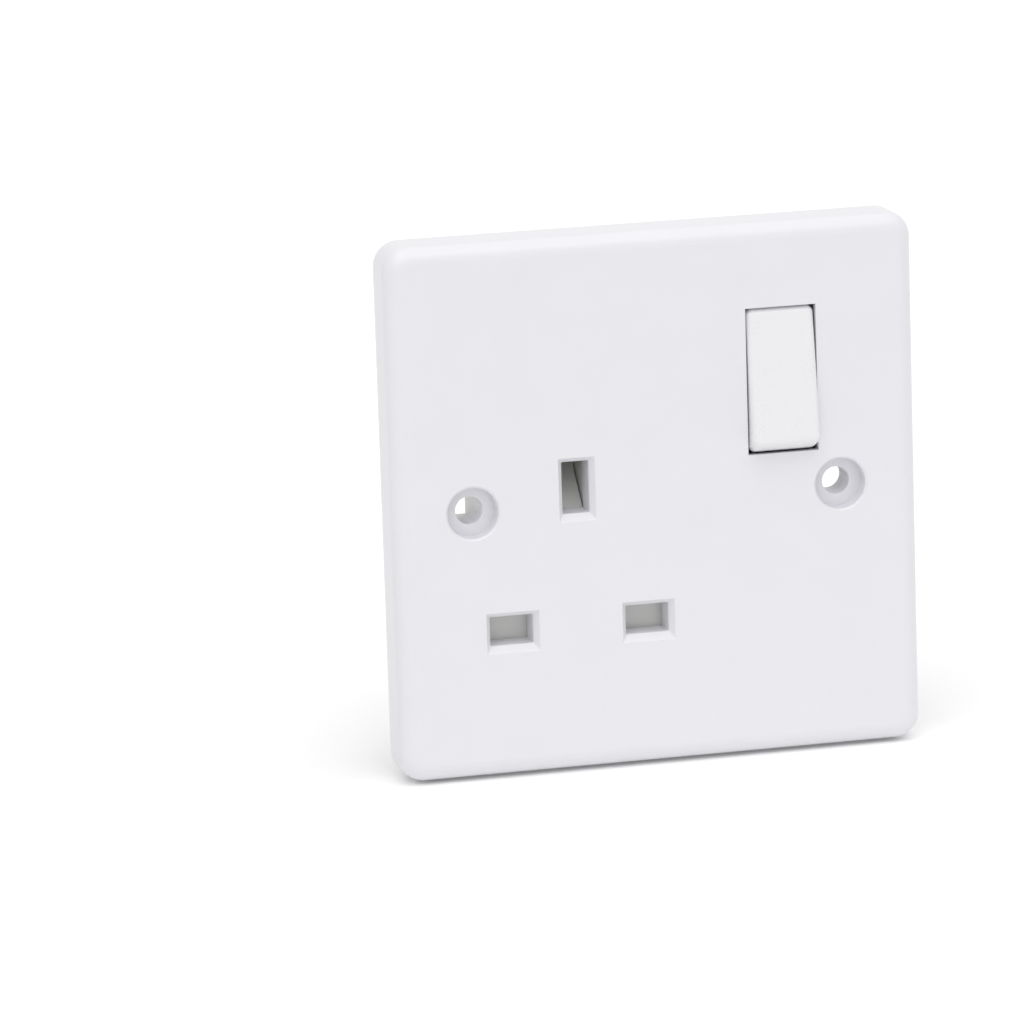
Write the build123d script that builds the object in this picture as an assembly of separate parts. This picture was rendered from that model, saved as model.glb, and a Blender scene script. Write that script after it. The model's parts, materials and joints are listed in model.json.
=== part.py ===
from build123d import *
from math import asin, cos, radians, sin, sqrt, tan
import os

# Single switched socket outlet for three rectangular pins.
# X runs to the right seen from the front, Y into the wall and Z up. The origin
# lies midway between the two fixing holes, in the plane where the plate meets the wall.

# Front plate
plate_width = 86.0
plate_height = 86.0
plate_depth = 8.5
plate_corner_radius = 4.0
plate_edge_radius = 2.8
plate_side_wall = 2.6
plate_front_wall = 3.0
plate_rib = 1.2

# Fixing holes at mid height, for M3.5 screws
fixing_spacing = 60.3
fixing_hole_diameter = 4.5
fixing_recess_diameter = 8.3
fixing_recess_depth = 3.0
fixing_boss_wall = 0.65
fixing_rim_chamfer = 0.3

# Plug pins and the slots that take them
pin_spacing = 22.2
power_pin_width = 6.35
power_pin_height = 4.0
power_pin_length = 17.7
earth_pin_width = 4.0
earth_pin_height = 8.0
earth_pin_length = 22.7
earth_slot_x = -13.2
earth_slot_z = 2.7
power_pin_clearance = 0.35
earth_pin_clearance = 0.2
slot_depth = 5.35
slot_collar_wall = 1.2
slot_corner_radius = 0.2
slot_chamfer = 0.8
slot_lower_chamfer = 1.15
slot_chamfer_depth = 1.2

# Shutter and its spring
shutter_clearance = 0.25
shutter_thickness = 1.8
shutter_travel = 6.4
shutter_bar_width = 10.4
shutter_overlap = 0.75
ramp_sheet = 1.4
ramp_depth = 6.4
ramp_slit = 0.25
shutter_spring_radius = 1.5
shutter_spring_wire = 0.36
shutter_spring_coils = 7
shutter_spring_length = 13.0
spring_peg_length = 2.6
wire_sides = 6

# Guide plate between shutter and contacts
guide_thickness = 1.6
guide_window_clearance = 0.8
seat_gap = 0.1

# Rocker
rocker_x = 20.8
rocker_z = 17.6
rocker_opening_width = 11.6
rocker_opening_height = 23.6
rocker_side_gap = 0.25
rocker_end_gap = 0.2
rocker_swing = 8.0
rocker_lip = 1.3
rocker_pivot_depth = 3.9
rocker_face_height = 5.25
rocker_face_wall = 1.6
rocker_side_wall = 1.3
rocker_skirt_back = -1.2
rocker_edge_radius = 1.0
rocker_corner_radius = 1.1
rocker_ear_radius = 2.6
trunnion_radius = 1.4
trunnion_length = 1.5
pivot_clearance = 0.05
collar_wall = 1.3
collar_end_gap = 0.4
stem_radius = 2.7
stem_reach = 5.4

# Plunger and spring inside the rocker's stem
plunger_radius = 1.6
plunger_reach = 9.5
plunger_length = 5.6
plunger_clearance = 0.06
spring_wire = 0.34
spring_coils = 4
spring_seat = -2.4

# Rocking bridge of the switch
bridge_swing = 11.0
bridge_dish = 8.0
bridge_width = 5.0
bridge_thickness = 0.8
bridge_half_length = 9.0
bridge_rise = 1.02
bridge_gap = 0.08
knuckle_radius = 1.0
tip_radius = 1.6
tip_height = 0.9
tip_reach = 8.0
contact_gap = 0.12

# Brass strips and pin clips
strip_thickness = 0.8
strip_width = 4.0
strip_clearance = 0.3
clip_thickness = 0.7
clip_width = 6.2
clip_grip = 0.15
clip_flare = 1.0
clip_mouth_gap = 0.8
clip_heel = 2.8
pin_tip_gap = 0.3
earth_clip_depth = 8.4
saddle_depth = 1.3
strip_bend_radius = 1.2

# Terminal blocks and their clamp screws
terminal_width = 8.0
terminal_height = 8.4
terminal_depth = 7.6
terminal_front_wall = 0.8
terminal_edge = 0.5
terminal_top_gap = 0.4
terminal_side_gap = 0.4
earth_terminal_x = -6.0
wire_bore_radius = 2.1
clamp_radius = 1.75
clamp_clearance = 0.05
clamp_travel = 2.2
clamp_head_radius = 2.6
clamp_head_height = 1.8
clamp_slot_width = 0.8
clamp_slot_depth = 0.9

# Rear housing
housing_width = 64.0
housing_height = 64.0
housing_wall = 1.4
housing_floor = 1.8
housing_corner_radius = 2.0
housing_back_edge = 0.8
lug_notch_height = 11.6
lug_notch_clearance = 0.3
access_clearance = 0.3
wire_entry_clearance = 0.4
partition = 1.3
rib = 1.2
rest_gap = 0.05
inner_corner_radius = 0.5

# Screws that hold the housing to the plate
housing_screw_radius = 1.45
housing_screw_clearance = 0.05
housing_screw_head_radius = 2.6
housing_screw_head_height = 1.8
housing_screw_seat = 3.0
housing_screw_end = 1.6
screw_recess_reach = 2.2
screw_recess_width = 0.75
screw_head_clearance = 0.2
screw_tube_wall = 1.0
screw_boss_wall = 1.75
screw_corner_inset = 4.2
left_screw_z = -11.9
upper_screw_x = 10.0

# Levels along Y, from the front of the plate to the back of the housing
front_y = -plate_depth
inner_y = front_y + plate_front_wall
slot_back_y = front_y + slot_depth
shutter_front_y = slot_back_y + shutter_clearance
shutter_back_y = shutter_front_y + shutter_thickness
guide_front_y = shutter_back_y + shutter_clearance
guide_back_y = guide_front_y + guide_thickness
housing_front_y = guide_back_y + seat_gap
boss_end_y = guide_back_y
rocker_pivot_y = front_y + rocker_pivot_depth
knuckle_y = rocker_pivot_y + plunger_reach + bridge_gap + bridge_rise
strip_front_y = front_y + power_pin_length + pin_tip_gap
strip_back_y = strip_front_y + strip_thickness
earth_strip_front_y = front_y + earth_pin_length + pin_tip_gap
earth_strip_back_y = earth_strip_front_y + strip_thickness

# Places of the pins and slots
power_pin_z = earth_slot_z - pin_spacing
neutral_x = earth_slot_x - pin_spacing / 2
live_x = earth_slot_x + pin_spacing / 2
power_slot_width = power_pin_width + 2 * power_pin_clearance
power_slot_height = power_pin_height + 2 * power_pin_clearance
earth_slot_width = earth_pin_width + 2 * earth_pin_clearance
earth_slot_height = earth_pin_height + 2 * earth_pin_clearance
slots = [
    (neutral_x, power_pin_z, power_slot_width, power_slot_height),
    (live_x, power_pin_z, power_slot_width, power_slot_height),
    (earth_slot_x, earth_slot_z, earth_slot_width, earth_slot_height),
]

# Rocker outline, turning about its pivot inside the lip of the opening
lip_reach = rocker_pivot_depth - rocker_lip
rocker_end_radius = sqrt((rocker_opening_height / 2 - rocker_end_gap) ** 2 + lip_reach**2)
rocker_half_length = sqrt(rocker_end_radius**2 - rocker_face_height**2)
rocker_width = rocker_opening_width - 2 * rocker_side_gap
collar_half_width = rocker_opening_width / 2 + rocker_side_gap
collar_half_height = rocker_end_radius + collar_end_gap
collar_wall_middle = collar_half_width + collar_wall / 2


def turned(y, z, angle):
    a = radians(angle)
    return y * cos(a) - z * sin(a), y * sin(a) + z * cos(a)


# Where the bridge's tip meets the fixed contact with the switch on
bridge_slope = radians(bridge_dish)
tip_depth = bridge_thickness + tip_height
tip_y = -bridge_rise - tip_reach * sin(bridge_slope) + tip_depth * cos(bridge_slope)
tip_z = tip_reach * cos(bridge_slope) + tip_depth * sin(bridge_slope)
closed_y, closed_z = turned(tip_y, tip_z, -bridge_swing)
fixed_tip_front_y = knuckle_y + closed_y + contact_gap
fixed_tip_z = rocker_z + closed_z

# Terminals and the back of the housing follow from the fixed contact
terminal_front_y = fixed_tip_front_y + tip_height
terminal_back_y = terminal_front_y + terminal_depth
wire_bore_y = terminal_front_y + terminal_front_wall + wire_bore_radius
clamp_tip_y = wire_bore_y + wire_bore_radius
clamp_head_y = terminal_back_y + clamp_travel + seat_gap
housing_back_y = clamp_head_y + clamp_head_height + seat_gap
housing_floor_y = housing_back_y - housing_floor
terminal_top_z = housing_height / 2 - housing_wall - terminal_top_gap
terminal_z = terminal_top_z - terminal_height / 2
tab_front_y = terminal_front_y - strip_thickness

# Housing screws: upper left, upper middle, left below the fixing hole, lower right
screw_corner_x = housing_width / 2 - screw_corner_inset
screw_corner_z = housing_height / 2 - screw_corner_inset
screw_places = [
    (-screw_corner_x, screw_corner_z),
    (upper_screw_x, screw_corner_z),
    (-screw_corner_x, left_screw_z),
    (screw_corner_x, -screw_corner_z),
]
screw_seat_y = housing_front_y + housing_screw_seat
screw_bore_radius = housing_screw_radius + housing_screw_clearance
screw_well_radius = housing_screw_head_radius + screw_head_clearance
screw_tube_radius = screw_well_radius + screw_tube_wall
screw_boss_radius = housing_screw_radius + screw_boss_wall
fixing_boss_radius = fixing_recess_diameter / 2 + fixing_boss_wall
lug_notch_x = fixing_spacing / 2 - fixing_boss_radius - lug_notch_clearance

# The neutral terminal and strip stand beside the left screw tubes and the lug notch
tube_side_x = -screw_corner_x + screw_tube_radius
neutral_terminal_x = tube_side_x + terminal_side_gap + terminal_width / 2
neutral_strip_x = max(tube_side_x, -lug_notch_x + housing_wall) + strip_clearance + strip_width / 2
terminals = {
    "neutral": neutral_terminal_x,
    "earth": earth_terminal_x,
    "live": rocker_x,
}

# Shutter levels, with the pin's edges as they meet the ramp
ramp_bottom_z = earth_slot_z - earth_slot_height / 2 - shutter_clearance
ramp_top_z = earth_slot_z - earth_pin_height / 2 + shutter_travel - seat_gap
pin_window_top_z = earth_slot_z + earth_pin_height / 2 + shutter_travel + shutter_clearance
shutter_top_z = pin_window_top_z + shutter_thickness
shutter_arm_top_z = power_pin_z - power_pin_height / 2 + shutter_travel - seat_gap
shutter_bottom_z = power_pin_z - power_slot_height / 2 - shutter_overlap
spring_y = shutter_front_y + shutter_spring_radius + shutter_spring_wire / 2

# Outline of the guide plate, stepped round the left screw
guide_right_x = live_x + power_slot_width / 2 + 4 * shutter_overlap
guide_left_x = -housing_width / 2 + housing_wall / 2
guide_step_x = max(-lug_notch_x, -screw_corner_x + screw_boss_radius) + shutter_clearance
guide_step_z = left_screw_z - screw_boss_radius - shutter_clearance
guide_bottom_z = -housing_height / 2 + housing_wall / 2


# Shapes drawn on a plane parallel to the wall, or across it
def level(y):
    return Plane.XZ.offset(-y)


def slab(sketch, y_from, y_to):
    return extrude(level(y_to) * sketch, amount=y_to - y_from)


def box_at(x, z, width, height, y_from, y_to):
    return slab(Pos(x, z) * Rectangle(width, height), y_from, y_to)


def disc_at(x, z, radius, y_from, y_to):
    return slab(Pos(x, z) * Circle(radius), y_from, y_to)


def cross_section(sketch, x, width):
    return extrude(Plane.YZ.offset(x - width / 2) * sketch, amount=width)


def bent_sheet(points, radius, thickness):
    return trace(FilletPolyline(*points, radius=radius), line_width=thickness)


# A coil of wire, with a few flats round the wire in place of a full circle
def spring(radius, wire, length, coils):
    path = Helix(pitch=(length - wire) / coils, height=length - wire, radius=radius)
    section = Plane(path @ 0, z_dir=path % 0) * RegularPolygon(wire / 2, wire_sides)
    return Pos(0, 0, wire / 2) * sweep(section, path=path, is_frenet=True)


# Front plate: shell with rounded rim, slots, fixing bosses, ribs and the rocker's collar
def plate_shell():
    outline = RectangleRounded(plate_width, plate_height, plate_corner_radius)
    body = slab(outline, front_y, 0)
    body = fillet(body.faces().sort_by(Axis.Y)[0].edges(), plate_edge_radius)
    cavity = RectangleRounded(
        plate_width - 2 * plate_side_wall,
        plate_height - 2 * plate_side_wall,
        max(plate_corner_radius - plate_side_wall, inner_corner_radius),
    )
    return body - slab(cavity, inner_y, 0)


def slot_collar(x, z, width, height):
    outer = Rectangle(width + 2 * slot_collar_wall, height + 2 * slot_collar_wall)
    return slab(Pos(x, z) * outer, inner_y, slot_back_y)


def pin_slot(x, z, width, height):
    throat = Pos(x, z) * RectangleRounded(width, height, slot_corner_radius)
    mouth_height = height + slot_chamfer + slot_lower_chamfer
    mouth_z = z + (slot_chamfer - slot_lower_chamfer) / 2
    mouth = Pos(x, mouth_z) * RectangleRounded(width + 2 * slot_chamfer, mouth_height, slot_corner_radius)
    bevel = loft([level(front_y) * mouth, level(front_y + slot_chamfer_depth) * throat])
    return slab(throat, front_y, slot_back_y) + bevel


def fixing_boss(x):
    return disc_at(x, 0, fixing_boss_radius, inner_y, 0)


def fixing_hole(x):
    through = disc_at(x, 0, fixing_hole_diameter / 2, front_y, 0)
    recess = disc_at(x, 0, fixing_recess_diameter / 2, front_y, front_y + fixing_recess_depth)
    rim = loft([
        level(front_y) * Pos(x, 0) * Circle(fixing_recess_diameter / 2 + fixing_rim_chamfer),
        level(front_y + fixing_rim_chamfer) * Pos(x, 0) * Circle(fixing_recess_diameter / 2),
    ])
    return through + recess + rim


def rocker_collar():
    outer = Rectangle(2 * (collar_half_width + collar_wall), 2 * (collar_half_height + collar_wall))
    return slab(Pos(rocker_x, rocker_z) * outer, inner_y, boss_end_y)


def rocker_well():
    lip = box_at(
        rocker_x, rocker_z, rocker_opening_width, rocker_opening_height, front_y, front_y + rocker_lip
    )
    chamber = box_at(
        rocker_x, rocker_z, 2 * collar_half_width, 2 * collar_half_height,
        front_y + rocker_lip, boss_end_y,
    )
    notch_radius = trunnion_radius + pivot_clearance
    notch_width = 2 * (collar_half_width + collar_wall)
    notch = Rectangle(boss_end_y - rocker_pivot_y, 2 * notch_radius, align=(Align.MIN, Align.CENTER))
    notch = Pos(rocker_pivot_y, rocker_z) * (notch + Circle(notch_radius))
    return lip + chamber + cross_section(notch, rocker_x, notch_width)


def shutter_guides():
    reach = shutter_bar_width / 2 + shutter_clearance + plate_rib / 2
    top = shutter_top_z + shutter_clearance
    bottom = shutter_arm_top_z + shutter_clearance
    sides = [
        box_at(earth_slot_x + s * reach, (top + bottom) / 2, plate_rib, top - bottom,
               inner_y, shutter_back_y)
        for s in (-1, 1)
    ]
    seat_z = shutter_bottom_z - shutter_spring_length - plate_rib / 2 - rest_gap
    seat_width = 4 * shutter_spring_radius
    seat = box_at(earth_slot_x, seat_z, seat_width, plate_rib, inner_y, guide_front_y)
    side_z = seat_z + shutter_spring_length / 4
    cheeks = [
        box_at(earth_slot_x + s * (seat_width + plate_rib) / 2, side_z, plate_rib,
               shutter_spring_length / 2 + plate_rib, inner_y, guide_front_y)
        for s in (-1, 1)
    ]
    return sides + [seat] + cheeks


def plate_ribs():
    rib_back = inner_y + plate_side_wall
    half_width = plate_width / 2 - plate_side_wall
    half_height = plate_height / 2 - plate_side_wall
    reach = half_width - fixing_spacing / 2 - fixing_boss_radius
    upright = half_height - fixing_boss_radius + plate_rib
    ribs = []
    for s in (-1, 1):
        middle = s * (half_width - reach / 2)
        ribs.append(box_at(middle, 0, reach + plate_rib, plate_rib, inner_y, rib_back))
        for t in (-1, 1):
            z = t * (half_height + fixing_boss_radius) / 2
            ribs.append(box_at(s * fixing_spacing / 2, z, plate_rib, upright, inner_y, inner_y + plate_rib))
    return ribs


def front_plate():
    body = plate_shell()
    body += [fixing_boss(s * fixing_spacing / 2) for s in (-1, 1)]
    body += [disc_at(x, z, screw_boss_radius, inner_y, boss_end_y) for x, z in screw_places]
    body += plate_ribs()
    body += [slot_collar(*slot) for slot in slots]
    body -= shutter_sweep()
    body += shutter_guides()
    body += rocker_collar()
    body -= rocker_well()
    for slot in slots:
        body -= pin_slot(*slot)
    for s in (-1, 1):
        body -= fixing_hole(s * fixing_spacing / 2)
    for x, z in screw_places:
        body -= disc_at(x, z, screw_bore_radius, front_y + housing_screw_end, boss_end_y)
    return body


# Shutter: a sliding sheet whose two flaps close the power slots; its ramp lies in the earth slot
def shutter_outline():
    bar = Pos(earth_slot_x, (shutter_top_z + shutter_bottom_z) / 2) * Rectangle(
        shutter_bar_width, shutter_top_z - shutter_bottom_z
    )
    arm_width = pin_spacing + power_slot_width + 2 * shutter_overlap
    arms = Pos(earth_slot_x, (shutter_arm_top_z + shutter_bottom_z) / 2) * Rectangle(
        arm_width, shutter_arm_top_z - shutter_bottom_z
    )
    return bar + arms


def shutter_sweep():
    moved = Pos(0, -shutter_travel) * shutter_outline()
    path_back_y = shutter_back_y + shutter_clearance
    return slab(shutter_outline(), slot_back_y, path_back_y) + slab(moved, slot_back_y, path_back_y)


def shutter():
    body = slab(shutter_outline(), shutter_front_y, shutter_back_y)
    window_width = earth_slot_width + 2 * ramp_slit
    window_height = pin_window_top_z - ramp_bottom_z
    body -= box_at(earth_slot_x, (pin_window_top_z + ramp_bottom_z) / 2, window_width,
                   window_height, shutter_front_y, shutter_back_y)
    ramp_back_y = shutter_front_y + ramp_depth
    ramp = make_face(Polyline(
        (shutter_front_y, ramp_bottom_z),
        (ramp_back_y, ramp_top_z),
        (ramp_back_y + ramp_sheet, ramp_top_z),
        (ramp_back_y + ramp_sheet, ramp_top_z - ramp_sheet),
        (shutter_front_y + ramp_sheet, ramp_bottom_z - ramp_sheet),
        (shutter_front_y, ramp_bottom_z - ramp_sheet),
        close=True,
    ))
    body += cross_section(ramp, earth_slot_x, earth_slot_width)
    body += box_at(earth_slot_x, ramp_top_z - ramp_sheet / 2, window_width + 2 * ramp_sheet, ramp_sheet,
                   ramp_back_y, ramp_back_y + ramp_sheet)
    cheek = make_face(Polyline(
        (shutter_back_y - ramp_sheet / 2, ramp_bottom_z - ramp_sheet),
        (ramp_back_y + ramp_sheet, ramp_top_z - ramp_sheet),
        (ramp_back_y + ramp_sheet, ramp_top_z),
        (shutter_back_y, ramp_top_z + 2 * ramp_sheet),
        (shutter_back_y - ramp_sheet / 2, ramp_top_z + 2 * ramp_sheet),
        close=True,
    ))
    for s in (-1, 1):
        x = earth_slot_x + s * (window_width + ramp_sheet) / 2
        body += cross_section(cheek, x, ramp_sheet)
    peg_radius = shutter_spring_radius - shutter_spring_wire
    peg = Pos(earth_slot_x, spring_y, shutter_bottom_z) * Cylinder(
        peg_radius, spring_peg_length, align=(Align.CENTER, Align.CENTER, Align.MAX)
    )
    foot = box_at(earth_slot_x, shutter_bottom_z + ramp_sheet / 2, 2 * shutter_spring_radius,
                  ramp_sheet, shutter_front_y, spring_y + peg_radius)
    return body + peg + foot


def shutter_spring():
    coil = spring(shutter_spring_radius, shutter_spring_wire, shutter_spring_length - rest_gap,
                  shutter_spring_coils)
    return Pos(earth_slot_x, spring_y, shutter_bottom_z - shutter_spring_length) * coil


# Guide plate: keeps the shutter in its plane and the contacts in the housing
def guide_plate():
    window_width = shutter_bar_width - 2 * ramp_sheet + shutter_clearance
    top_z = shutter_top_z + 2 * ramp_sheet
    outline = make_face(Polyline(
        (guide_step_x, top_z),
        (guide_right_x, top_z),
        (guide_right_x, guide_bottom_z),
        (guide_left_x, guide_bottom_z),
        (guide_left_x, guide_step_z),
        (guide_step_x, guide_step_z),
        close=True,
    ))
    body = slab(outline, guide_front_y, guide_back_y)
    slot_top = pin_window_top_z + shutter_clearance
    slot_bottom = ramp_bottom_z - shutter_travel - 2 * ramp_sheet
    body -= box_at(earth_slot_x, (slot_top + slot_bottom) / 2, window_width, slot_top - slot_bottom,
                   guide_front_y, guide_back_y)
    spring_slot = 2 * shutter_spring_radius + 2 * shutter_spring_wire + 2 * shutter_clearance
    slot_height = shutter_bottom_z + ramp_sheet + shutter_clearance - guide_bottom_z
    body -= box_at(earth_slot_x, guide_bottom_z + slot_height / 2, spring_slot, slot_height,
                   guide_front_y, guide_back_y)
    for x, z, width, height in slots[:2]:
        spare = 2 * guide_window_clearance
        body -= slab(Pos(x, z) * RectangleRounded(width + spare, height + spare, slot_corner_radius),
                     guide_front_y, guide_back_y)
        frame = Pos(x, z) * Rectangle(width + spare + rib, height + spare + rib)
        hole = Pos(x, z) * Rectangle(width + spare, height + spare)
        body += slab(frame - hole, guide_back_y, guide_back_y + rib / 2)
    return body


# Rocker: rounded key with ears, trunnions and a tubular stem, drawn level and then tipped to OFF
def rocker_place(angle):
    return Pos(rocker_x, rocker_pivot_y, rocker_z) * Rot(X=angle)


def rocker_profile():
    half = rocker_half_length
    skirt = sqrt(rocker_end_radius**2 - rocker_skirt_back**2)
    middle_angle = (asin(rocker_face_height / rocker_end_radius)
                    + asin(-rocker_skirt_back / rocker_end_radius)) / 2
    arc_y = -rocker_end_radius * sin(middle_angle)
    arc_z = rocker_end_radius * cos(middle_angle)
    outline = [
        Line((-rocker_face_height, -half), (-rocker_face_height, half)),
        ThreePointArc((-rocker_face_height, half), (arc_y, arc_z), (rocker_skirt_back, skirt)),
        Line((rocker_skirt_back, skirt), (rocker_skirt_back, -skirt)),
        ThreePointArc((rocker_skirt_back, -skirt), (arc_y, -arc_z), (-rocker_face_height, -half)),
    ]
    return make_face(outline)


def rocker():
    key = cross_section(rocker_profile(), 0, rocker_width)
    key = fillet(key.edges().filter_by(GeomType.CIRCLE), rocker_corner_radius)
    front = key.faces().sort_by(Axis.Y)[0]
    key = fillet(front.edges(), rocker_edge_radius)
    key += Rot(Y=90) * Cylinder(rocker_ear_radius, rocker_width)
    depth = rocker_face_height - rocker_face_wall
    hollow = Box(
        rocker_width - 2 * rocker_side_wall,
        depth + rocker_ear_radius,
        2 * (rocker_half_length - rocker_side_wall),
        align=(Align.CENTER, Align.MIN, Align.CENTER),
    )
    key -= Pos(0, -depth, 0) * hollow
    stem_length = stem_reach + depth + rib / 2
    key += Pos(0, stem_reach, 0) * Rot(X=90) * Cylinder(
        stem_radius, stem_length, align=(Align.CENTER, Align.CENTER, Align.MIN)
    )
    web_depth = depth + rocker_skirt_back
    key += Pos(0, -depth, 0) * Box(
        rib, web_depth, 2 * rocker_half_length - rocker_side_wall,
        align=(Align.CENTER, Align.MIN, Align.CENTER),
    )
    key += Rot(Y=90) * Cylinder(trunnion_radius, rocker_width + 2 * trunnion_length)
    bore = Cylinder(
        plunger_radius + plunger_clearance, stem_reach - spring_seat,
        align=(Align.CENTER, Align.CENTER, Align.MIN),
    )
    key -= Pos(0, stem_reach, 0) * Rot(X=90) * bore
    return rocker_place(-rocker_swing) * key


def rocker_plunger():
    nose_y = plunger_reach - plunger_radius
    shank = plunger_length - plunger_radius
    body = Pos(0, nose_y, 0) * Rot(X=90) * Cylinder(
        plunger_radius, shank, align=(Align.CENTER, Align.CENTER, Align.MIN)
    )
    body += Pos(0, nose_y, 0) * Sphere(plunger_radius)
    return rocker_place(-rocker_swing) * body


def rocker_spring():
    plunger_back = plunger_reach - plunger_length
    length = plunger_back - spring_seat - 2 * rest_gap
    coil = spring(plunger_radius - spring_wire, spring_wire, length, spring_coils)
    coil = Pos(0, plunger_back - rest_gap, 0) * Rot(X=90) * coil
    return rocker_place(-rocker_swing) * coil


# Switch bridge: a dished copper strip that rocks on the saddle
def bridge_place(angle):
    return Pos(rocker_x, knuckle_y, rocker_z) * Rot(X=angle)


def switch_bridge():
    rise = bridge_half_length * tan(bridge_slope)
    back = bridge_thickness / cos(bridge_slope)
    outline = make_face(Polyline(
        (-bridge_rise - rise, bridge_half_length),
        (-bridge_rise, 0),
        (-bridge_rise - rise, -bridge_half_length),
        (-bridge_rise - rise + back, -bridge_half_length),
        (-bridge_rise + back, 0),
        (-bridge_rise - rise + back, bridge_half_length),
        close=True,
    ))
    body = cross_section(outline, 0, bridge_width)
    body += Rot(Y=90) * Cylinder(knuckle_radius, bridge_width)
    return bridge_place(bridge_swing) * body


def contact_button():
    button = Rot(X=-90) * Cylinder(tip_radius, tip_height, align=(Align.CENTER, Align.CENTER, Align.MIN))
    face = button.faces().sort_by(Axis.Y)[-1]
    return chamfer(face.edges(), tip_height / 3)


def bridge_contact():
    seat = Pos(0, -bridge_rise, 0) * Rot(X=bridge_dish) * Pos(0, bridge_thickness, tip_reach)
    return bridge_place(bridge_swing) * seat * contact_button()


def fixed_contact():
    return Pos(rocker_x, terminal_front_y, fixed_tip_z) * Rot(Z=180) * contact_button()


# Brass strips: each is one folded piece with a clip that grips the pin
def power_clip(x):
    inner = power_pin_height / 2 - clip_grip
    grip = inner + clip_thickness / 2
    heel = power_pin_height / 2 + clip_thickness
    mouth = grip + clip_flare
    mouth_y = guide_back_y + rib / 2 + clip_mouth_gap
    base_y = strip_front_y + clip_thickness / 2
    points = [
        (mouth_y, mouth), (mouth_y + clip_heel, grip), (mouth_y + 2 * clip_heel, heel), (base_y, heel),
        (base_y, -heel), (mouth_y + 2 * clip_heel, -heel), (mouth_y + clip_heel, -grip), (mouth_y, -mouth),
    ]
    sheet = Pos(0, power_pin_z) * bent_sheet(points, clip_thickness, clip_thickness)
    return cross_section(sheet, x, clip_width)


def earth_clip():
    inner = earth_pin_width / 2 - clip_grip
    grip = inner + clip_thickness / 2
    heel = earth_pin_width / 2 + clip_thickness
    mouth = grip + clip_flare
    base_y = earth_strip_front_y + clip_thickness / 2
    mouth_y = base_y - earth_clip_depth
    points = [
        (mouth, mouth_y), (grip, mouth_y + clip_heel), (heel, mouth_y + 2 * clip_heel), (heel, base_y),
        (-heel, base_y), (-heel, mouth_y + 2 * clip_heel), (-grip, mouth_y + clip_heel), (-mouth, mouth_y),
    ]
    sheet = Pos(earth_slot_x, 0) * bent_sheet(points, clip_thickness, clip_thickness)
    return extrude(Plane.XY.offset(earth_slot_z - clip_width / 2) * sheet, amount=clip_width)


def terminal_strip(x, tab_x, y, z_from):
    middle = y + strip_thickness / 2
    tab_middle = tab_front_y + strip_thickness / 2
    jog_top = terminal_z - terminal_height / 2
    bend_top = jog_top - strip_width - strip_bend_radius
    run = abs(middle - tab_middle)
    points = [(middle, z_from), (middle, bend_top - run), (tab_middle, bend_top), (tab_middle, jog_top)]
    riser = cross_section(bent_sheet(points, strip_bend_radius, strip_thickness), x, strip_width)
    jog = box_at((x + tab_x) / 2, jog_top - strip_width / 2, abs(tab_x - x) + strip_width, strip_width,
                 tab_front_y, terminal_front_y)
    tab_top = terminal_top_z - terminal_edge
    tab = box_at(tab_x, (tab_top + jog_top) / 2, strip_width, tab_top - jog_top,
                 tab_front_y, terminal_front_y)
    return riser + jog + tab


def neutral_contact():
    foot_left = neutral_x - clip_width / 2
    foot_right = neutral_strip_x + strip_width / 2
    foot = box_at((foot_left + foot_right) / 2, power_pin_z, foot_right - foot_left, strip_width,
                  strip_front_y, strip_back_y)
    riser = terminal_strip(neutral_strip_x, neutral_terminal_x, strip_front_y,
                           power_pin_z - strip_width / 2)
    return power_clip(neutral_x) + foot + riser


def earth_contact():
    foot_left = earth_slot_x - earth_pin_width / 2 - clip_thickness
    foot_right = earth_terminal_x + strip_width / 2
    foot = box_at((foot_left + foot_right) / 2, earth_slot_z, foot_right - foot_left, strip_width,
                  earth_strip_front_y, earth_strip_back_y)
    riser = terminal_strip(earth_terminal_x, earth_terminal_x, earth_strip_front_y,
                           earth_slot_z - strip_width / 2)
    return earth_clip() + foot + riser


def live_link():
    saddle_y = knuckle_y + knuckle_radius / 3
    middle = strip_front_y + strip_thickness / 2
    saddle_middle = saddle_y + saddle_depth / 2
    saddle_half = 2 * knuckle_radius
    drop = middle - saddle_middle
    points = [
        (saddle_middle, rocker_z + saddle_half),
        (saddle_middle, rocker_z - saddle_half - strip_bend_radius),
        (middle, rocker_z - saddle_half - strip_bend_radius - drop),
        (middle, power_pin_z - strip_width / 2),
    ]
    body = cross_section(bent_sheet(points, strip_bend_radius, strip_thickness), rocker_x, strip_width)
    foot_left = live_x - clip_width / 2
    foot_right = rocker_x + strip_width / 2
    body += box_at((foot_left + foot_right) / 2, power_pin_z, foot_right - foot_left, strip_width,
                   strip_front_y, strip_back_y)
    body += power_clip(live_x)
    body += box_at(rocker_x, rocker_z, strip_width, 2 * saddle_half, saddle_y, saddle_y + saddle_depth)
    groove = Pos(rocker_x, knuckle_y, rocker_z) * Rot(Y=90) * Cylinder(
        knuckle_radius + pivot_clearance, strip_width
    )
    return body - groove


# Terminal blocks with a wire bore along Z and a clamp screw along Y
def terminal(x):
    block = box_at(x, terminal_z, terminal_width, terminal_height, terminal_front_y, terminal_back_y)
    block = chamfer(block.edges().filter_by(Axis.Z), terminal_edge)
    block -= Pos(x, wire_bore_y, terminal_z) * Cylinder(wire_bore_radius, terminal_height)
    block -= disc_at(x, terminal_z, clamp_radius + clamp_clearance, wire_bore_y, terminal_back_y)
    return block


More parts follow.
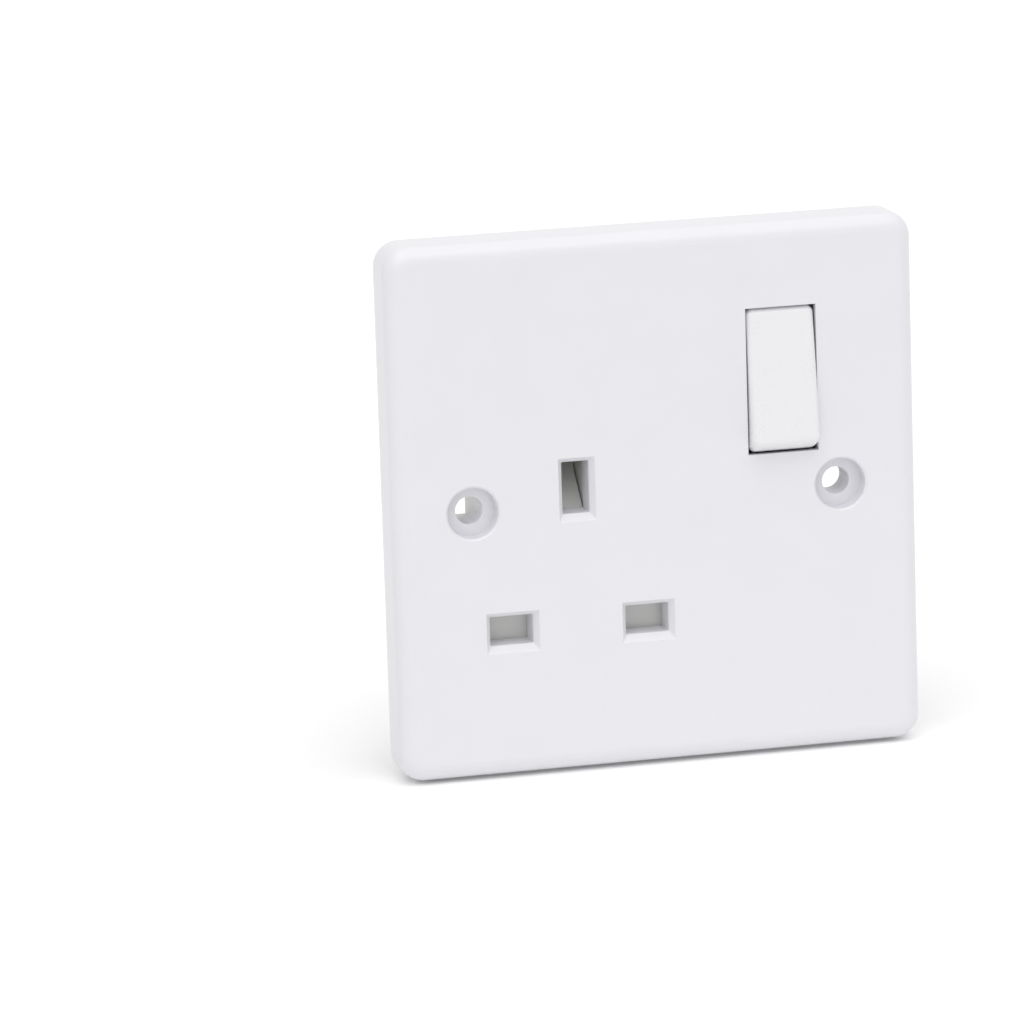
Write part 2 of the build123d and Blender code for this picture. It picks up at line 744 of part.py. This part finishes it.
def clamp_screw(x):
    shank = disc_at(x, terminal_z, clamp_radius, clamp_tip_y, clamp_head_y)
    shank = chamfer(shank.faces().sort_by(Axis.Y)[0].edges(), clamp_radius / 4)
    head = disc_at(x, terminal_z, clamp_head_radius, clamp_head_y, clamp_head_y + clamp_head_height)
    head = chamfer(head.faces().sort_by(Axis.Y)[-1].edges(), clamp_head_height / 5)
    slot = box_at(x, terminal_z, 2 * clamp_head_radius, clamp_slot_width,
                  clamp_head_y + clamp_head_height - clamp_slot_depth, clamp_head_y + clamp_head_height)
    return shank + head - slot


# Rear housing: open box notched round the fixing lugs, with bays, seats, screw tubes and ribs
def housing_outline(inset):
    body = RectangleRounded(housing_width - 2 * inset, housing_height - 2 * inset,
                            max(housing_corner_radius - inset, inner_corner_radius))
    notch_depth = housing_width / 2 - lug_notch_x + inset
    for s in (-1, 1):
        notch = Rectangle(notch_depth, lug_notch_height + 2 * inset)
        body -= Pos(s * (lug_notch_x - inset + notch_depth / 2), 0) * notch
    return body


def housing_shell():
    body = slab(housing_outline(0), housing_front_y, housing_back_y)
    body = chamfer(body.faces().sort_by(Axis.Y)[-1].edges(), housing_back_edge)
    return body - slab(housing_outline(housing_wall), housing_front_y, housing_floor_y)


def housing_walls():
    inside_top = housing_height / 2 - housing_wall / 2
    walls = []
    chamber_bottom = lug_notch_height / 2 + housing_wall
    for s in (-1, 1):
        x = rocker_x + s * collar_wall_middle
        walls.append(box_at(x, (inside_top + chamber_bottom) / 2, partition,
                            inside_top - chamber_bottom, housing_front_y, housing_floor_y))
        tab_width = collar_wall - seat_gap
        tab_y = rocker_pivot_y + trunnion_radius + seat_gap
        walls.append(box_at(x, rocker_z, tab_width, 2 * trunnion_radius - 2 * seat_gap, tab_y,
                            housing_front_y + rib))
    bay_middle = (neutral_terminal_x + earth_terminal_x) / 2
    bay_height = terminal_height + rib
    walls.append(box_at(bay_middle, inside_top - bay_height / 2, rib, bay_height,
                        tab_front_y, housing_floor_y))
    return walls


def strip_rests():
    power_rest = strip_back_y + rest_gap
    earth_rest = earth_strip_back_y + rest_gap
    rests = [
        (neutral_x, power_pin_z, clip_width, rib, power_rest),
        (live_x, power_pin_z, clip_width, rib, power_rest),
        (neutral_strip_x, -lug_notch_height / 2, strip_width, rib, power_rest),
        (neutral_strip_x, lug_notch_height / 2, strip_width, rib, power_rest),
        (rocker_x, power_pin_z, strip_width, rib, power_rest),
        (rocker_x, 0, strip_width, rib, power_rest),
        (rocker_x, lug_notch_height / 2, strip_width, rib, power_rest),
        (earth_slot_x, earth_slot_z, clip_width, rib, earth_rest),
        (earth_terminal_x, earth_slot_z, strip_width, rib, earth_rest),
    ]
    return [box_at(x, z, w, h, y, housing_floor_y) for x, z, w, h, y in rests]


def saddle_rest():
    saddle_back = knuckle_y + knuckle_radius / 3 + saddle_depth + rest_gap
    return box_at(rocker_x, rocker_z, strip_width, 2 * knuckle_radius, saddle_back, housing_floor_y)


def rear_housing():
    body = housing_shell()
    body += housing_walls()
    body += strip_rests()
    body += saddle_rest()
    access_radius = clamp_head_radius + access_clearance
    for x, z in screw_places:
        body += disc_at(x, z, screw_tube_radius, housing_front_y, housing_floor_y)
    for x in terminals.values():
        body += disc_at(x, terminal_z, access_radius + rib, terminal_back_y + rest_gap, housing_floor_y)
    for x, z in screw_places:
        body -= disc_at(x, z, screw_bore_radius, housing_front_y, screw_seat_y)
        body -= disc_at(x, z, screw_well_radius, screw_seat_y, housing_back_y)
    for x in terminals.values():
        body -= disc_at(x, terminal_z, access_radius, terminal_back_y, housing_back_y)
        body -= Pos(x, wire_bore_y, housing_height / 2) * Cylinder(
            wire_bore_radius + wire_entry_clearance, 4 * housing_wall
        )
    return body


def housing_screw(x, z):
    tip_y = front_y + housing_screw_end + seat_gap
    shank = disc_at(x, z, housing_screw_radius, tip_y, screw_seat_y)
    shank = chamfer(shank.faces().sort_by(Axis.Y)[0].edges(), housing_screw_radius / 2)
    head_back = screw_seat_y + housing_screw_head_height
    head = disc_at(x, z, housing_screw_head_radius, screw_seat_y, head_back)
    head = chamfer(head.faces().sort_by(Axis.Y)[-1].edges(), housing_screw_head_height / 3)
    across = Rectangle(2 * screw_recess_reach, screw_recess_width)
    upright = Rectangle(screw_recess_width, 2 * screw_recess_reach)
    recess = Pos(x, z) * (across + upright)
    return shank + head - slab(recess, head_back - housing_screw_head_height / 2, head_back)


parts = {
    "front_plate": front_plate(),
    "rear_housing": rear_housing(),
    "guide_plate": guide_plate(),
    "shutter": shutter(),
    "shutter_spring": shutter_spring(),
    "rocker": rocker(),
    "rocker_plunger": rocker_plunger(),
    "rocker_spring": rocker_spring(),
    "switch_bridge": switch_bridge(),
    "bridge_contact": bridge_contact(),
    "fixed_contact": fixed_contact(),
    "live_link": live_link(),
    "neutral_contact": neutral_contact(),
    "earth_contact": earth_contact(),
    "housing_screws": Compound(children=[housing_screw(x, z) for x, z in screw_places]),
}
for name, x in terminals.items():
    parts[name + "_terminal"] = terminal(x)
    parts[name + "_clamp_screw"] = clamp_screw(x)

os.makedirs("parts", exist_ok=True)
for node, shape in parts.items():
    export_step(shape, "parts/" + node + ".step")
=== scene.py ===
import json
import math

import bmesh
import bpy
from mathutils import Matrix, Vector


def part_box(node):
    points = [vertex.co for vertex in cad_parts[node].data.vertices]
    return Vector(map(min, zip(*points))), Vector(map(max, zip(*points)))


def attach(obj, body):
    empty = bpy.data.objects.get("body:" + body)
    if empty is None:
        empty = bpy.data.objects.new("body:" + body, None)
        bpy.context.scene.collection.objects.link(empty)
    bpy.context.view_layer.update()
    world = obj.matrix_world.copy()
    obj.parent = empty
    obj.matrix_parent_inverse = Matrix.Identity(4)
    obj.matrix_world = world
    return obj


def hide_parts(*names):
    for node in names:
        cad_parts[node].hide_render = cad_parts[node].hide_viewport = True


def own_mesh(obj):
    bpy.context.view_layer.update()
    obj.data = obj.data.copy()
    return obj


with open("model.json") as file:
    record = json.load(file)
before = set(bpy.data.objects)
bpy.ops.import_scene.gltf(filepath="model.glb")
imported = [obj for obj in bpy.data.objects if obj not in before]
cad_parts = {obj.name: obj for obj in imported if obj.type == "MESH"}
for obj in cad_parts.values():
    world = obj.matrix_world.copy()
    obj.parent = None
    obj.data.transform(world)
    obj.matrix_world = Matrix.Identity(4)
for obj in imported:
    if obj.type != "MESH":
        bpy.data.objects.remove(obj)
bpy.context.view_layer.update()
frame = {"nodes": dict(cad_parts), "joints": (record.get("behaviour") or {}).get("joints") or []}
nodes = frame["nodes"]
joints = {joint["name"]: joint for joint in frame["joints"]}
mm = 0.001


# Shader maths: a link stands for one socket, and sums on links add the Math nodes
class Link:
    def __init__(self, tree, socket=None):
        self.tree = tree
        self.socket = socket

    def node(self, kind, settings=None, inputs=None, out=0):
        made = self.tree.nodes.new(kind)
        for name, value in (settings or {}).items():
            setattr(made, name, value)
        for name, value in (inputs or {}).items():
            if isinstance(value, Link):
                self.tree.links.new(value.socket, made.inputs[name])
            else:
                made.inputs[name].default_value = value
        return Link(self.tree, made.outputs[out] if made.outputs else None)

    def math(self, operation, first, second):
        return self.node("ShaderNodeMath", {"operation": operation}, {0: first, 1: second})

    def __add__(self, other):
        return self.math("ADD", self, other)

    def __radd__(self, other):
        return self.math("ADD", other, self)

    def __sub__(self, other):
        return self.math("SUBTRACT", self, other)

    def __rsub__(self, other):
        return self.math("SUBTRACT", other, self)

    def __mul__(self, other):
        return self.math("MULTIPLY", self, other)

    def __rmul__(self, other):
        return self.math("MULTIPLY", other, self)

    def noise(self, size, detail=2.0, stretch=(1, 1, 1)):  # size of one blotch in metres
        place = self.node("ShaderNodeTexCoord", out="Object")
        if stretch != (1, 1, 1):
            place = self.node("ShaderNodeVectorMath", {"operation": "MULTIPLY"},
                              {0: place, 1: [1 / s for s in stretch]})
        return self.node("ShaderNodeTexNoise", {}, {"Vector": place, "Scale": 1 / size, "Detail": detail})

    def blend(self, factor, one, other):  # colours go through Mix, as links or as red, green and blue
        first, second = (c if isinstance(c, Link) else (*c, 1) for c in (one, other))
        return self.node("ShaderNodeMix", {"data_type": "RGBA"}, {0: factor, 6: first, 7: second}, out=2)


def newMaterial(name):
    made = bpy.data.materials.new(name)
    made.use_nodes = True
    made.node_tree.nodes.clear()
    return made, Link(made.node_tree)


def closeMaterial(made, start, shaderInputs):
    shader = start.node("ShaderNodeBsdfPrincipled", {}, shaderInputs)
    start.node("ShaderNodeOutputMaterial", {}, {"Surface": shader})
    return made


def bumped(start, height, depth):
    return start.node("ShaderNodeBump", {}, {"Strength": 1.0, "Distance": depth, "Height": height})


# Finishes. Colours are linear and sizes are in metres; grain is the fine relief, flow the wide one
plateFinish = {"name": "plateWhite", "light": (0.815, 0.812, 0.845), "dark": (0.79, 0.787, 0.82),
               "roughness": 0.3, "spread": 0.06, "grain": 0.3 * mm, "depth": 0.0003 * mm,
               "flow": 9 * mm, "flowDepth": 0.0012 * mm, "specular": 0.5}
rockerFinish = {"name": "rockerWhite", "light": (0.835, 0.834, 0.85), "dark": (0.81, 0.809, 0.825),
                "roughness": 0.28, "spread": 0.04, "grain": 0.3 * mm, "depth": 0.0001 * mm,
                "flow": 7 * mm, "flowDepth": 0.0007 * mm, "specular": 0.5}
housingFinish = {"name": "housingWhite", "light": (0.8, 0.798, 0.79), "dark": (0.76, 0.757, 0.745),
                 "roughness": 0.5, "spread": 0.14, "grain": 0.22 * mm, "depth": 0.006 * mm,
                 "flow": 9 * mm, "flowDepth": 0.01 * mm, "specular": 0.4}
guideFinish = {"name": "guideGrey", "light": (0.66, 0.655, 0.63), "dark": (0.6, 0.595, 0.57),
               "roughness": 0.5, "spread": 0.12, "grain": 0.25 * mm, "depth": 0.005 * mm,
               "flow": 6 * mm, "flowDepth": 0.006 * mm, "specular": 0.4}
shutterFinish = {"name": "shutterGrey", "light": (0.76, 0.76, 0.735), "dark": (0.71, 0.71, 0.68),
                 "roughness": 0.42, "spread": 0.12, "grain": 0.3 * mm, "depth": 0.004 * mm,
                 "flow": 5 * mm, "flowDepth": 0.004 * mm, "specular": 0.45}
nylonFinish = {"name": "plungerNylon", "light": (0.78, 0.77, 0.7), "dark": (0.72, 0.7, 0.62),
               "roughness": 0.35, "spread": 0.1, "grain": 0.2 * mm, "depth": 0.002 * mm,
               "flow": 2 * mm, "flowDepth": 0.003 * mm, "specular": 0.5}
springFinish = {"name": "springSteel", "light": (0.6, 0.6, 0.62), "dark": (0.38, 0.38, 0.4),
                "roughness": 0.28, "spread": 0.2, "drawn": (1, 1, 1), "grain": 0.3 * mm, "depth": 0.004 * mm}
zincFinish = {"name": "zincSteel", "light": (0.72, 0.72, 0.7), "dark": (0.52, 0.53, 0.55),
              "roughness": 0.3, "spread": 0.22, "drawn": (1, 1, 1), "grain": 0.5 * mm, "depth": 0.006 * mm}
brassFinish = {"name": "brass", "light": (0.83, 0.62, 0.27), "dark": (0.66, 0.46, 0.18),
               "roughness": 0.26, "spread": 0.2, "drawn": (1, 1, 14), "grain": 0.28 * mm, "depth": 0.005 * mm}
copperFinish = {"name": "copper", "light": (0.86, 0.5, 0.33), "dark": (0.66, 0.34, 0.21),
                "roughness": 0.24, "spread": 0.2, "drawn": (1, 1, 12), "grain": 0.3 * mm, "depth": 0.005 * mm}
silverFinish = {"name": "silver", "light": (0.86, 0.86, 0.83), "dark": (0.68, 0.67, 0.63),
                "roughness": 0.22, "spread": 0.16, "drawn": (1, 1, 1), "grain": 0.4 * mm, "depth": 0.003 * mm}


noiseMiddle = 0.5


def variedRoughness(look, *noises):
    roughness = look["roughness"]
    for noise in noises:
        roughness = roughness + (noise - noiseMiddle) * look["spread"]
    return roughness


def mouldedPlastic(look):
    made, start = newMaterial(look["name"])
    tone = start.noise(look["flow"], detail=3)
    grain = start.noise(look["grain"], detail=2)
    waves = start.noise(look["flow"], detail=1)
    height = grain * (look["depth"] / look["flowDepth"]) + waves
    return closeMaterial(made, start, {
        "Base Color": start.blend(tone, look["dark"], look["light"]),
        "Roughness": variedRoughness(look, grain, tone),
        "Specular IOR Level": look["specular"],
        "Normal": bumped(start, height, look["flowDepth"]),
    })


stainSize = 12  # times the grain
stainShare = 0.7  # of the colour's change, the drawn lines have the rest


def workedMetal(look):
    made, start = newMaterial(look["name"])
    stain = start.noise(stainSize * look["grain"], detail=4)
    lines = start.noise(look["grain"], detail=3, stretch=look["drawn"])
    return closeMaterial(made, start, {
        "Base Color": start.blend(stain * stainShare + lines * (1 - stainShare), look["dark"], look["light"]),
        "Metallic": 1.0,
        "Roughness": variedRoughness(look, lines, stain),
        "Normal": bumped(start, lines, look["depth"]),
    })


plateWhite, rockerWhite, housingWhite, guideGrey, shutterGrey, plungerNylon = (
    mouldedPlastic(look) for look in
    (plateFinish, rockerFinish, housingFinish, guideFinish, shutterFinish, nylonFinish)
)
springSteel, zincSteel, brass, copper, silver = (
    workedMetal(look) for look in (springFinish, zincFinish, brassFinish, copperFinish, silverFinish)
)
print("finishes made")


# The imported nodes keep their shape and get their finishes
def dress(material, *names):
    for name in names:
        mesh = nodes[name].data
        mesh.materials.clear()
        mesh.materials.append(material)


dress(plateWhite, "front_plate")
dress(rockerWhite, "rocker")
dress(housingWhite, "rear_housing")
dress(guideGrey, "guide_plate")
dress(shutterGrey, "shutter")
dress(plungerNylon, "rocker_plunger")
dress(springSteel, "shutter_spring", "rocker_spring")
dress(zincSteel, "housing_screws", "neutral_clamp_screw", "earth_clamp_screw", "live_clamp_screw")
dress(brass, "live_link", "neutral_contact", "earth_contact",
      "neutral_terminal", "earth_terminal", "live_terminal")
dress(copper, "switch_bridge")
dress(silver, "bridge_contact", "fixed_contact")
print("nodes dressed")


sharpAngle = math.radians(38)  # steeper edges stay crisp


# A piece rides on a body and stands for one imported node, which it hides
def addPiece(name, mesh, material, body, node):
    mesh.materials.append(material)
    for face in mesh.polygons:
        face.use_smooth = True
    mesh.set_sharp_from_angle(angle=sharpAngle)
    piece = bpy.data.objects.new(name, mesh)
    bpy.context.scene.collection.objects.link(piece)
    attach(piece, body)
    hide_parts(node)
    return piece


def ringSkin(rings):  # faces between rings of as many points each, closed at both ends
    count = len(rings[0])
    points = [point for ring in rings for point in ring]
    faces = []
    for r in range(len(rings) - 1):
        for i in range(count):
            j = (i + 1) % count
            faces.append((r * count + i, r * count + j, (r + 1) * count + j, (r + 1) * count + i))
    faces.append(tuple(reversed(range(count))))
    faces.append(tuple(range(len(points) - count, len(points))))
    return points, faces


# Springs of round wire, with closed turns at both ends
shutterCoil = {"name": "shutter_coil", "node": "shutter_spring", "body": "socket", "joint": "shutter_slide",
               "radius": 1.5 * mm, "wire": 0.36 * mm, "openTurns": 7, "closedTurns": 1.25}
rockerCoil = {"name": "rocker_coil", "node": "rocker_spring", "body": "rocker_key", "joint": "plunger_press",
              "radius": 1.26 * mm, "wire": 0.34 * mm, "openTurns": 4, "closedTurns": 1.0,
              "seat": -2.35 * mm, "length": 6.2 * mm}
wireSides, turnSteps = 16, 56  # points round the wire, rings in one turn


def makeCoil(look, foot, axis, length):
    radius, wire = look["radius"], look["wire"]
    closed, opened = look["closedTurns"], look["openTurns"]
    openRise = (length - wire - 2 * closed * wire) / opened
    turnRound = axis.to_track_quat("Z", "Y").to_matrix()
    rings = []
    for k in range(round((opened + 2 * closed) * turnSteps) + 1):
        turns = k / turnSteps
        risen = min(max(turns - closed, 0), opened)
        rise = wire / 2 + (turns - risen) * wire + risen * openRise
        angle = 2 * math.pi * turns
        out = Vector((math.cos(angle), math.sin(angle), 0))
        middle = out * radius + Vector((0, 0, rise))
        slope = openRise if 0 < risen < opened else wire
        along = Vector((-math.sin(angle), math.cos(angle), slope / (2 * math.pi * radius)))
        side = along.normalized().cross(out)
        ring = []
        for i in range(wireSides):
            a = 2 * math.pi * i / wireSides
            ring.append(foot + turnRound @ (middle + (out * math.cos(a) + side * math.sin(a)) * (wire / 2)))
        rings.append(ring)
    points, faces = ringSkin(rings)
    mesh = bpy.data.meshes.new(look["name"])
    mesh.from_pydata(points, [], faces)
    return addPiece(look["name"], mesh, springSteel, look["body"], look["node"])


def makeShutterCoil():
    low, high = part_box(shutterCoil["node"])
    axis = Vector((0, 0, 1))
    foot = Vector(((low.x + high.x) / 2, (low.y + high.y) / 2, low.z))
    length = high.z - low.z
    coil = makeCoil(shutterCoil, foot, axis, length)
    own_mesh(coil)


def makeRockerCoil():  # from a seat in the stem, along the plunger's way out
    pivot = Vector(joints["rocker_tilt"]["pos_m"])
    axis = -Vector(joints[rockerCoil["joint"]]["axis"]).normalized()
    foot = pivot + axis * rockerCoil["seat"]
    coil = makeCoil(rockerCoil, foot, axis, rockerCoil["length"])
    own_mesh(coil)


makeShutterCoil()
makeRockerCoil()
print("springs wound")


# Screws with a rolled thread: tip at the front, head towards the back, crest as a share of the pitch
housingScrew = {"name": "housing_screw_set", "node": "housing_screws", "body": "socket",
                "shank": 1.45 * mm, "head": 2.6 * mm, "headHeight": 1.8 * mm, "headBevel": 0.6 * mm,
                "tipBevel": 0.72 * mm, "pitch": 1.06 * mm, "threadDepth": 0.36 * mm, "crest": 0.12,
                "plain": 1.6 * mm, "cross": True, "armLength": 2.2 * mm, "armWidth": 0.75 * mm,
                "recess": 0.9 * mm, "middleX": 10.0 * mm, "leftZ": -11.9 * mm}
clampScrew = {"name": "clamp_screw_threaded", "node": "clamp_screw", "sides": ("neutral", "earth", "live"),
              "shank": 1.75 * mm, "head": 2.6 * mm, "headHeight": 1.8 * mm, "headBevel": 0.36 * mm,
              "tipBevel": 0.44 * mm, "pitch": 0.7 * mm, "threadDepth": 0.3 * mm, "crest": 0.2,
              "plain": 0.3 * mm, "cross": False, "armLength": 3.2 * mm, "armWidth": 0.8 * mm,
              "recess": 0.9 * mm}
roundSteps, pitchSteps, bevelSteps = 56, 10, 6  # points in a ring, rings in a pitch and over the bevel


def screwRows(look, tip, back):  # places along the screw and the radius there, without the thread
    shank, head, bevel = look["shank"], look["head"], look["headBevel"]
    shankLength = back - look["headHeight"] - tip
    count = math.ceil(shankLength / (look["pitch"] / pitchSteps))
    rows = [(tip, shank - look["tipBevel"])]
    rows += [(tip + shankLength * k / count, shank) for k in range(1, count + 1)]
    rows += [(tip + shankLength, head), (back - bevel, head)]
    for k in range(1, bevelSteps + 1):
        a = math.pi / 2 * k / bevelSteps
        rows.append((back - bevel * (1 - math.sin(a)), head - bevel * (1 - math.cos(a))))
    return rows


def screwRings(look, x, z, tip, back):
    shank, pitch, crest = look["shank"], look["pitch"], look["crest"]
    shankEnd = back - look["headHeight"]
    threadEnd = shankEnd - look["plain"]
    rings = []
    for y, radius in screwRows(look, tip, back):
        ring = []
        for i in range(roundSteps):
            angle = 2 * math.pi * i / roundSteps
            here = min(radius, shank - look["tipBevel"] + y - tip) if y <= shankEnd else radius
            if radius == shank and y < threadEnd:
                phase = ((y - tip) / pitch - i / roundSteps) % 1
                groove = min(max((abs(2 * phase - 1) - crest) / (1 - 2 * crest), 0), 1)
                fade = min(1, (threadEnd - y) / pitch)
                here = min(here, shank - look["threadDepth"] * groove * fade)
            ring.append((x + here * math.cos(angle), y, z + here * math.sin(angle)))
        rings.append(ring)
    return rings


def driveOutline(look):  # the slot or cross that the driver's blade goes into
    arm, half = look["armLength"], look["armWidth"] / 2
    if not look["cross"]:
        return [(-arm, -half), (arm, -half), (arm, half), (-arm, half)]
    quarter = [(half, -arm), (half, -half), (arm, -half)]
    outline = []
    for _ in range(4):
        outline += quarter
        quarter = [(-v, u) for u, v in quarter]
    return outline


def driveRings(look, x, z, back):  # from the recess's floor to past the head
    return [[(x + u, y, z + v) for u, v in driveOutline(look)] for y in (back - look["recess"], back + mm)]


def joinRings(name, ringSets):  # one mesh of several closed skins
    points, faces = [], []
    for rings in ringSets:
        newPoints, newFaces = ringSkin(rings)
        faces += [tuple(i + len(points) for i in face) for face in newFaces]
        points += newPoints
    mesh = bpy.data.meshes.new(name)
    mesh.from_pydata(points, [], faces)
    work = bmesh.new()
    work.from_mesh(mesh)
    bmesh.ops.recalc_face_normals(work, faces=work.faces)
    work.to_mesh(mesh)
    work.free()
    return mesh


def cutWith(mesh, cutter):  # one exact cut, then only the cut mesh is kept
    body = bpy.data.objects.new("cutBody", mesh)
    tool = bpy.data.objects.new("cutTool", cutter)
    for one in (body, tool):
        bpy.context.scene.collection.objects.link(one)
    cut = body.modifiers.new("cut", "BOOLEAN")
    cut.operation, cut.solver, cut.object = "DIFFERENCE", "EXACT", tool
    done = bpy.data.meshes.new_from_object(body.evaluated_get(bpy.context.evaluated_depsgraph_get()))
    for one in (body, tool):
        bpy.data.objects.remove(one)
    return done


def screwMesh(look, places, tip, back):
    solid = joinRings(look["name"], [screwRings(look, x, z, tip, back) for x, z in places])
    return cutWith(solid, joinRings("drive", [driveRings(look, x, z, back) for x, z in places]))


def makeHousingScrews():
    low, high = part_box(housingScrew["node"])
    left, right = low.x + housingScrew["head"], high.x - housingScrew["head"]
    bottom, top = low.z + housingScrew["head"], high.z - housingScrew["head"]
    places = [(left, top), (housingScrew["middleX"], top), (left, housingScrew["leftZ"]), (right, bottom)]
    mesh = screwMesh(housingScrew, places, low.y, high.y)
    addPiece(housingScrew["name"], mesh, zincSteel, housingScrew["body"], housingScrew["node"])


def makeClampScrews():
    for side in clampScrew["sides"]:
        node = side + "_" + clampScrew["node"]
        low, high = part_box(node)
        mesh = screwMesh(clampScrew, [((low.x + high.x) / 2, (low.z + high.z) / 2)], low.y, high.y)
        addPiece(side + "_" + clampScrew["name"], mesh, zincSteel, side + "_screw", node)


makeHousingScrews()
makeClampScrews()
print("screws threaded")


# The camera and all gloss and glass see floor and room as white
def seenMask(start):
    camera, glossy, through = (start.node("ShaderNodeLightPath", out="Is " + kind + " Ray")
                               for kind in ("Camera", "Glossy", "Transmission"))
    return start.math("MAXIMUM", start.math("MAXIMUM", camera, glossy), through)


# Floor just under the plate's lower edge, plain and white, keeping the shadow
floorLook = {"half": 3.0, "drop": 0.55 * mm, "light": (0.94, 0.94, 0.94), "dark": (0.93, 0.93, 0.93),
             "grain": 40 * mm, "shown": (1.0, 1.0, 1.0), "lift": 0.06}


def makeFloor():
    made, start = newMaterial("floorWhite")
    tone = start.blend(start.noise(floorLook["grain"]), floorLook["dark"], floorLook["light"])
    seen = start.blend(seenMask(start), tone, floorLook["shown"])
    closeMaterial(made, start, {
        "Base Color": seen,
        "Roughness": 1.0,
        "Specular IOR Level": 0.0,
        "Emission Color": (1, 1, 1, 1),
        "Emission Strength": floorLook["lift"],
    })
    half = floorLook["half"]
    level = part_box("front_plate")[0].z - floorLook["drop"]
    corners = [(-half, -half, level), (half, -half, level), (half, half, level), (-half, half, level)]
    mesh = bpy.data.meshes.new("floor")
    mesh.from_pydata(corners, [], [(0, 1, 2, 3)])
    mesh.materials.append(made)
    floor = bpy.data.objects.new("floor", mesh)
    bpy.context.scene.collection.objects.link(floor)


makeFloor()


# Soft light from the room and two wide soft lamps, sides counted from the front, angles in degrees
roomLook = {"strength": 0.52, "colour": (1.0, 1.0, 1.0)}
lampLooks = [
    {"name": "keyLamp", "power": 0.9, "width": 60, "side": -24, "height": 50},
    {"name": "topLamp", "power": 0.92, "width": 80, "side": 50, "height": 76},
]


def makeRoom():
    world = bpy.data.worlds.new("room")
    bpy.context.scene.world = world
    world.use_nodes = True
    world.node_tree.nodes.clear()
    start = Link(world.node_tree)
    fill = start.node("ShaderNodeBackground", {}, {
        "Color": (*roomLook["colour"], 1), "Strength": roomLook["strength"],
    })
    white = start.node("ShaderNodeBackground", {}, {"Color": (1, 1, 1, 1), "Strength": 1.0})
    shown = start.node("ShaderNodeMixShader", {}, {0: seenMask(start), 1: fill, 2: white})
    start.node("ShaderNodeOutputWorld", {}, {"Surface": shown})


def makeLamp(look):
    light = bpy.data.lights.new(look["name"], "SUN")
    light.energy = look["power"]
    light.angle = math.radians(look["width"])
    lamp = bpy.data.objects.new(look["name"], light)
    side, height = math.radians(look["side"]), math.radians(look["height"])
    level = math.cos(height)
    towards = Vector((math.sin(side) * level, -math.cos(side) * level, math.sin(height)))
    lamp.rotation_euler = towards.to_track_quat("Z", "Y").to_euler()
    bpy.context.scene.collection.objects.link(lamp)


makeRoom()
for look in lampLooks:
    makeLamp(look)


# Camera where the photograph was taken from: left of the plate and a little above it
cameraLook = {"lens": 225, "distance": 1008 * mm, "yaw": 13.5, "pitch": 12.0, "roll": -1.87,
              "aimX": -23.9 * mm, "aimZ": -0.2 * mm}


def makeCamera():
    data = bpy.data.cameras.new("camera")
    data.lens = cameraLook["lens"]
    camera = bpy.data.objects.new("camera", data)
    bpy.context.scene.collection.objects.link(camera)
    bpy.context.scene.camera = camera
    yaw, pitch, roll = (math.radians(cameraLook[k]) for k in ("yaw", "pitch", "roll"))
    level = math.cos(pitch)
    forward = Vector((math.sin(yaw) * level, math.cos(yaw) * level, -math.sin(pitch)))
    right = forward.cross(Vector((0, 0, 1))).normalized()
    right = right * math.cos(roll) + right.cross(forward) * math.sin(roll)
    up = right.cross(forward)
    aim = Vector((cameraLook["aimX"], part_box("front_plate")[0].y, cameraLook["aimZ"]))
    turn = Matrix((right, up, -forward)).transposed().to_4x4()
    camera.matrix_world = Matrix.Translation(aim - forward * cameraLook["distance"]) @ turn


makeCamera()
bpy.context.scene.view_settings.view_transform = "Standard"
print("stage, lamps and camera set")
